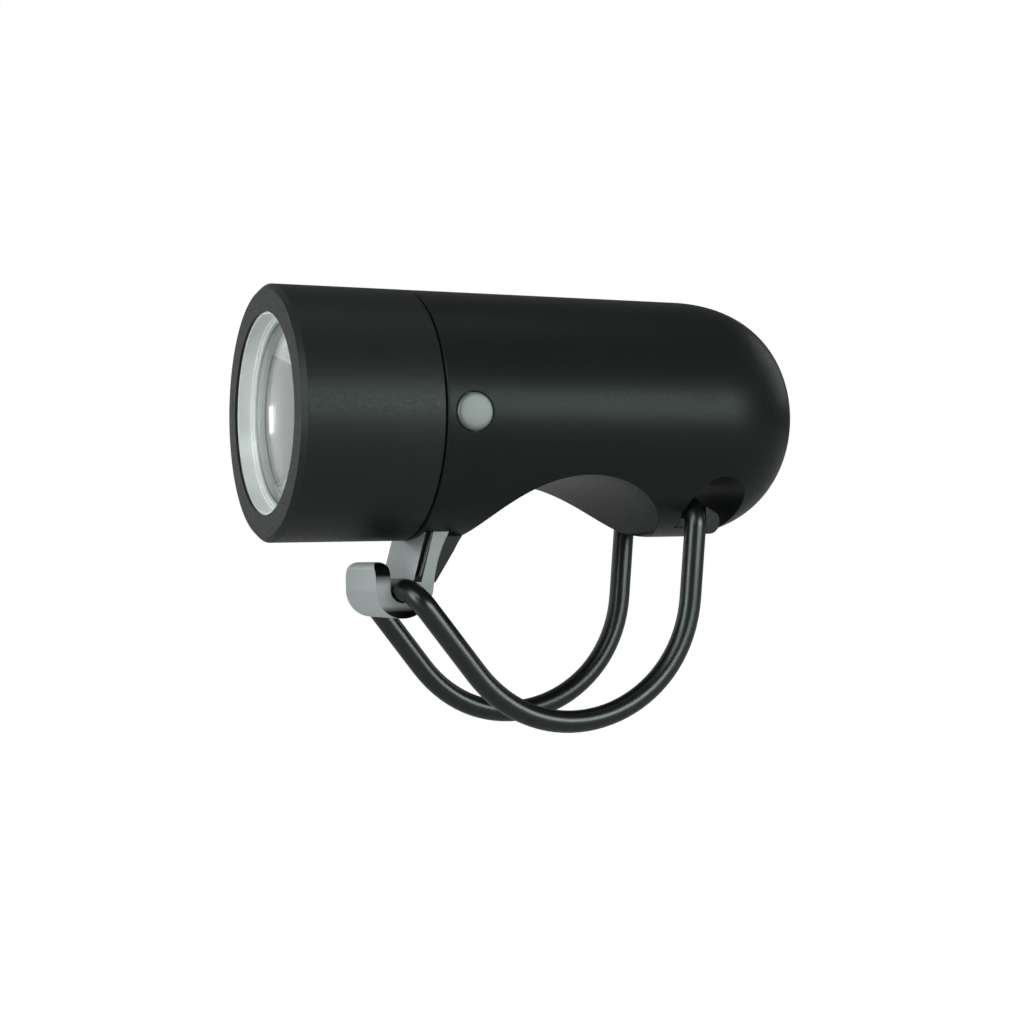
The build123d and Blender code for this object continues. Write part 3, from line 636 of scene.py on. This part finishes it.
# %% Contact springs of the cell
wire = 0.17 * MM
turns = 2.5
steps = 60
narrowing = 0.38
low_corner, high_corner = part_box("cell_contacts")
cell_low, cell_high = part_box("battery_cell")
axis_z = (low_corner[2] + high_corner[2]) / 2
wide = (high_corner[0] - low_corner[0]) / 2 - wire
coils = bmesh.new()
for foot, head in ((low_corner[1], cell_low[1]), (high_corner[1], cell_high[1])):
    toward = 1 if head > foot else -1
    start = Vector((wide, foot + toward * wire, axis_z))
    before = set(coils.verts)
    section = bmesh.ops.create_circle(coils, cap_ends=True, segments=8, radius=wire,
                                      matrix=Matrix.Translation(start))["verts"]
    edges = {edge for vert in section for edge in vert.link_edges}
    faces = {face for vert in section for face in vert.link_faces}
    climb = (abs(head - foot) - 2 * wire) / steps
    bmesh.ops.spin(coils, geom=[*section, *edges, *faces], cent=(0, start.y, axis_z),
                   axis=(0, 1, 0), dvec=(0, toward * climb, 0), angle=turns * 2 * math.pi,
                   steps=steps)
    for vert in set(coils.verts) - before:
        share = 1 - narrowing * abs(vert.co.y - foot) / abs(head - foot)
        vert.co = (vert.co.x * share, vert.co.y, axis_z + (vert.co.z - axis_z) * share)
finished(coils, "cell_springs", contact_brass, "lamp_module", "contact_brass", "cell_contacts")

# %% [markdown]
# ## The cup
#
# The cup has a wide mouth that is round at its sides and flat above and below, and it narrows
# to the lamp's square window. One ring of edges is extruded again and again, and after each
# step the new ring is moved and squeezed to its next outline, so the walls are the strips
# between the rings. The outer wall starts from the same rim, and a last strip joins both walls
# at the window.


# %% Rings of edges
def squeeze(value, limit):
    """A value held between minus and plus a limit."""
    return max(-limit, min(limit, value))


def next_ring(bm, edges, place):
    """Extrudes a ring of edges and moves each new corner to where place says."""
    made = bmesh.ops.extrude_edge_only(bm, edges=edges)["geom"]
    for vert in [part for part in made if isinstance(part, bmesh.types.BMVert)]:
        x, y, z = place(vert.co.x, vert.co.y, vert.co.z - cup_z)
        vert.co = (x, y, z + cup_z)
    return [part for part in made if isinstance(part, bmesh.types.BMEdge) and part.is_boundary
            and abs(part.verts[1].co.y - part.verts[0].co.y) < same_point]


# %% Cup
cup_front, cup_back = cup_low[1], cup_high[1]
cup_radius = (cup_high[0] - cup_low[0]) / 2
mouth_rim = 0.7 * MM
mouth_radius = cup_radius - mouth_rim
mouth_corner = math.sqrt(mouth_radius ** 2 - mouth_height ** 2)
window = 2.3 * MM
flange = 1.2 * MM
behind_flange_share = 0.9
back_share = 0.68
cup = bmesh.new()
bmesh.ops.create_circle(cup, segments=96, radius=cup_radius, matrix=Matrix.Translation(
    (0, cup_front, cup_z)) @ Matrix.Rotation(math.pi / 2, 4, "X"))
rim = list(cup.edges)
mouth_share = mouth_radius / cup_radius
ring = next_ring(cup, rim, lambda x, y, z: (
    x * mouth_share, y, squeeze(z * mouth_share, mouth_height)))
inner = next_ring(cup, ring, lambda x, y, z: (
    squeeze(x * window / mouth_corner, window), cup_back, z * window / mouth_height))
ring = next_ring(cup, rim, lambda x, y, z: (x, cup_front + flange, z))
ring = next_ring(cup, ring, lambda x, y, z: (x * behind_flange_share, y, z * behind_flange_share))
outer = next_ring(cup, ring, lambda x, y, z: (x * back_share, cup_back, z * back_share))
bmesh.ops.bridge_loops(cup, edges=inner + outer)
finished(cup, "cup_walls", reflector_white, "lamp_module", "reflector_white", "reflector")

# %% [markdown]
# ## The lens
#
# The lens is a curved shell of even thickness, with a flat lip at its edge. A ball cut by a
# plane would be solid glass and bend the view far too much. So two arcs, one for each face, are
# drawn by turning a point, joined to an outline at the lip, and spun round the light's axis.

# %% Lens
lens_low, lens_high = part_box("front_lens")
lens_radius = (lens_high[0] - lens_low[0]) / 2
lens_wall = 1.3 * MM
lens_lip = 0.8 * MM
inner_radius = lens_radius - lens_lip
sag = lens_high[1] - lens_low[1] - lens_wall
ball = (lens_radius ** 2 + sag ** 2) / (2 * sag)
lens = bmesh.new()
ends = []
for apex, arc_reach in ((lens_low[1], lens_radius), (lens_low[1] + lens_wall, inner_radius)):
    start = lens.verts.new((0, apex, cup_z))
    made = bmesh.ops.spin(lens, geom=[start], cent=(0, apex + ball, cup_z), axis=(0, 0, 1),
                          angle=math.asin(arc_reach / ball), steps=16)["geom_last"]
    ends.append(next(part for part in made if isinstance(part, bmesh.types.BMVert)))
side = 1 if ends[0].co.x > 0 else -1
corner = lens.verts.new((side * lens_radius, lens_high[1], cup_z))
lip = lens.verts.new((side * inner_radius, lens_high[1], cup_z))
for pair in ((ends[0], corner), (corner, lip), (lip, ends[1])):
    lens.edges.new(pair)
bmesh.ops.spin(lens, geom=list(lens.verts) + list(lens.edges), cent=(0, 0, cup_z),
               axis=(0, 1, 0), angle=2 * math.pi, steps=96, use_merge=True)
finished(lens, "lens_shell", clear_lens, "lamp_module", "clear_lens", "front_lens")

# %% [markdown]
# ## The lamp at the bottom of the cup
#
# The lamp is a small square base with a round dome of silicone on it. Both are white here,
# because the lamp is off and little of it shows through the curved lens. The base is a cube with
# bevelled edges, and the dome is a ball cut in half.

# %% Lamp
lamp_low, lamp_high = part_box("led_emitter")
board_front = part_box("led_board")[0][1]
lamp_z = (lamp_low[2] + lamp_high[2]) / 2
base_width = lamp_high[0] - lamp_low[0]
base_height = 0.7 * MM
base_round = 0.1 * MM
dome_radius = 1.55 * MM
base_front = board_front - base_height
base = bmesh.new()
base_size = Matrix.Diagonal((base_width, board_front - base_front, base_width, 1))
bmesh.ops.create_cube(base, size=1, matrix=Matrix.Translation(
    (0, (base_front + board_front) / 2, lamp_z)) @ base_size)
bmesh.ops.bevel(base, geom=list(base.edges), offset=base_round, segments=2, profile=0.5,
                affect="EDGES", material=-1)
finished(base, "lamp_base", tongue_white, "lamp_module", "led_yellow", "led_emitter")
dome = bmesh.new()
bmesh.ops.create_uvsphere(dome, u_segments=32, v_segments=16, radius=dome_radius,
                          matrix=Matrix.Translation((0, base_front, lamp_z)))
bmesh.ops.bisect_plane(dome, geom=list(dome.verts) + list(dome.edges) + list(dome.faces),
                       plane_co=(0, base_front, 0), plane_no=(0, 1, 0), clear_outer=True)
bmesh.ops.holes_fill(dome, edges=[edge for edge in dome.edges if edge.is_boundary], sides=0)
finished(dome, "lamp_dome", tongue_white, "lamp_module", "led_yellow")

# %% [markdown]
# ## The floor
#
# The floor is a plain pale plane, as low as the strap hangs when it is open. In the photograph
# the ground is pure white, while the light on the object is mild. More light would burn the
# object out, so the floor's material asks what kind of ray meets it: the camera and glass see
# a white glow, polished surfaces see a pale one, and everything else sees a matt floor, which
# keeps some of the object's shadow.


# %% Helpers for rays
def rays(tree, *kinds):
    """A factor that is 1 for the named kinds of ray."""
    path = tree.nodes.new("ShaderNodeLightPath")
    total = path.outputs[kinds[0]]
    for kind in kinds[1:]:
        total = math_node(tree, "MAXIMUM", total, path.outputs[kind])
    return total


def shader_mix(tree, factor, first, second):
    """Mixes two shaders and returns the mix."""
    mixer = tree.nodes.new("ShaderNodeMixShader")
    for target, socket in zip(mixer.inputs, (factor, first, second)):
        tree.links.new(socket, target)
    return mixer.outputs[0]


# %% Floor
strap_hang = 18 * MM
floor_half = 1.5
floor_z = cad_box[0][2] - strap_hang
bm = bmesh.new()
bmesh.ops.create_grid(bm, x_segments=1, y_segments=1, size=floor_half,
                      matrix=Matrix.Translation((0, 0, floor_z)))
floor = new_object("floor", mesh_from(bm, "floor"))
floor_white = bpy.data.materials.new("floor_white")
floor_white.use_nodes = True
tree = floor_white.node_tree
shader = tree.nodes["Principled BSDF"]
shader.inputs["Base Color"].default_value = (0.82, 0.82, 0.82, 1)
shader.inputs["Roughness"].default_value = 0.9
pale_share, glow_share = 0.8, 0.85
pale = node_link(tree, "ShaderNodeEmission", Strength=0.35)
glow = node_link(tree, "ShaderNodeEmission", Strength=1.1)
mirrored = math_node(tree, "MULTIPLY", rays(tree, "Is Glossy Ray"), pale_share)
blend = shader_mix(tree, mirrored, shader.outputs[0], pale.outputs[0])
straight = rays(tree, "Is Camera Ray", "Is Transmission Ray")
seen = math_node(tree, "MULTIPLY", straight, glow_share)
blend = shader_mix(tree, seen, blend, glow.outputs[0])
tree.links.new(blend, tree.nodes["Material Output"].inputs["Surface"])
floor.data.materials.append(floor_white)
print("floor at", round(floor_z / MM, 2), "mm")

# %% [markdown]
# ## The room
#
# The world does three jobs. The camera sees it white, the object gets a dim grey light from it,
# and glossy surfaces see a room that is bright ahead of the object on its far side and dark
# towards the camera, as a studio is. That dark side is what gives polished metal its contrast.
# What glass bends into view follows the same idea, from white on the far side to dark on the
# camera's side.

# %% World
world = bpy.data.worlds.new("white_room")
scene.world = world
world.use_nodes = True
tree = world.node_tree
dim = tree.nodes["Background"]
dim.inputs["Color"].default_value = (0.52, 0.52, 0.52, 1)
white = node_link(tree, "ShaderNodeBackground", Color=(1, 1, 1, 1), Strength=1.0)
heading = node_link(tree, "ShaderNodeTexCoord").outputs["Generated"]
bright_side = (-0.74, -0.66, -0.15)
ahead = math_node(tree, "MULTIPLY_ADD", reach(tree, heading, bright_side), 0.5, 0.5)
fall = node_link(tree, "ShaderNodeValToRGB", Fac=ahead)
ramp = fall.color_ramp
for spot in (0.3, 0.68):
    ramp.elements.new(spot)
for element, level in zip(ramp.elements, (0.05, 0.05, 0.18, 0.75)):
    element.color = (level, level, level, 1)
studio = node_link(tree, "ShaderNodeBackground", Color=fall.outputs["Color"], Strength=1.0)
across = node_link(tree, "ShaderNodeSeparateXYZ", Vector=heading).outputs["X"]
fade = node_link(tree, "ShaderNodeMapRange", Value=across, From_Min=-0.2, From_Max=0.4,
                 To_Min=1.7, To_Max=0.12)
through = node_link(tree, "ShaderNodeBackground", Color=(1, 1, 1, 1), Strength=fade.outputs[0])
lit = shader_mix(tree, rays(tree, "Is Glossy Ray"), dim.outputs[0], studio.outputs[0])
lit = shader_mix(tree, rays(tree, "Is Transmission Ray"), lit, through.outputs[0])
lit = shader_mix(tree, rays(tree, "Is Camera Ray"), lit, white.outputs[0])
tree.links.new(lit, tree.nodes["World Output"].inputs["Surface"])
print("room is bright towards", bright_side)

# %% [markdown]
# ## The lamps
#
# A large soft box stands on the camera's side, towards the rear, and draws the broad sheen along
# the body. Two more stand in front, one of them high, for the collar and the hook. A tiny one at
# the far side is there for one thing, the bright streak on the lens, and weak ones fill the top
# and the rear. Each is far off, aimed at the middle of the light, and its power follows from its
# area, so that its level says how bright its face looks whatever its size.

# %% Lamps
aim = Vector((0, 0, 22)) * MM
lamp_distance = 430 * MM


def soft_box(name, toward, width_mm, height_mm, level):
    """A rectangular lamp far off in one direction."""
    lamp = bpy.data.lights.new(name, "AREA")
    lamp.shape = "RECTANGLE"
    lamp.size = width_mm * MM
    lamp.size_y = height_mm * MM
    lamp.energy = level * math.pi * lamp.size * lamp.size_y
    lamp_object = new_object(name, lamp)
    start = aim + Vector(toward).normalized() * lamp_distance
    look = (aim - start).to_track_quat("-Z", "Y")
    lamp_object.matrix_world = Matrix.Translation(start) @ look.to_matrix().to_4x4()
    lamp_object.visible_camera = False
    print(name, "level", level)


soft_box("main_box", (0.9, 0.42, 0.15), 300, 160, 7.5)
soft_box("front_box", (0.37, -0.93, 0.1), 160, 300, 6.0)
soft_box("high_front_box", (0.57, -0.64, 0.52), 240, 160, 3.5)
soft_box("streak_box", (-0.943, -0.334, 0.079), 26, 22, 2.4)
soft_box("top_box", (0.1, 0.0, 1.0), 400, 200, 0.6)
soft_box("rear_box", (-0.2, 1.0, 0.4), 250, 200, 0.8)
